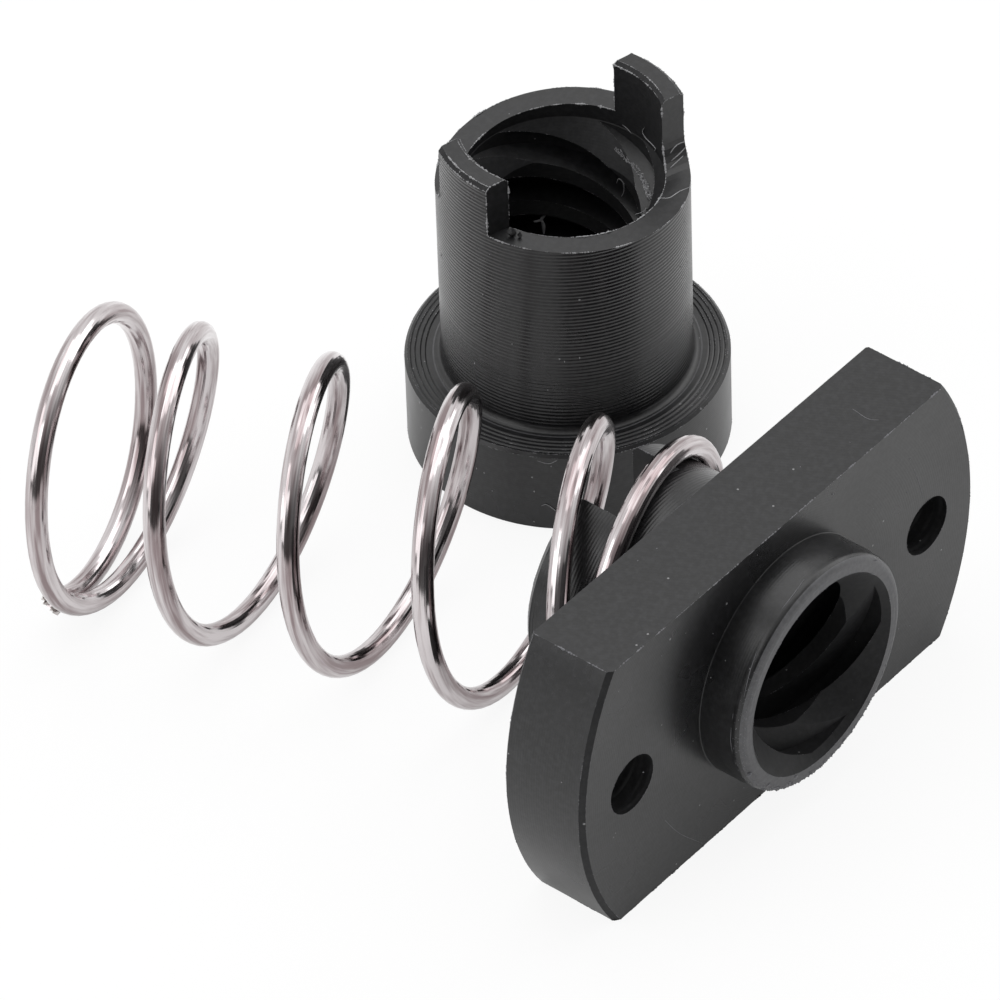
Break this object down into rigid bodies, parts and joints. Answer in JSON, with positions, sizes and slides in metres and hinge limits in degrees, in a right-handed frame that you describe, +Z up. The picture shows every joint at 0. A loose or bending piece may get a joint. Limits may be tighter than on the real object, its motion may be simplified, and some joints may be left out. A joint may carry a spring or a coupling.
{
  "type": "lead screw nut",
  "caption": "Flanged lead screw nut with a slotted barrel, a pronged collar and a coil spring that takes up its backlash, lying taken apart",
  "frame": {"origin": "On the nut's screw axis, in the plane of the flange's front face", "axes": "+Y runs along the screw axis from the flange's front face to its back, +X runs through the two screw holes, +Z is up, away from the surface that the pieces lie on"},
  "size_m": [0.0311, 0.0332, 0.0161],
  "materials": {
    "turned_acetal": "black acetal, turned and milled, satin",
    "spring_wire": "bright drawn stainless spring wire"
  },
  "bodies": {
    "root": {"flange_nut": "turned_acetal", "spring": "spring_wire", "collar": "turned_acetal"}
  },
  "joints": []
}
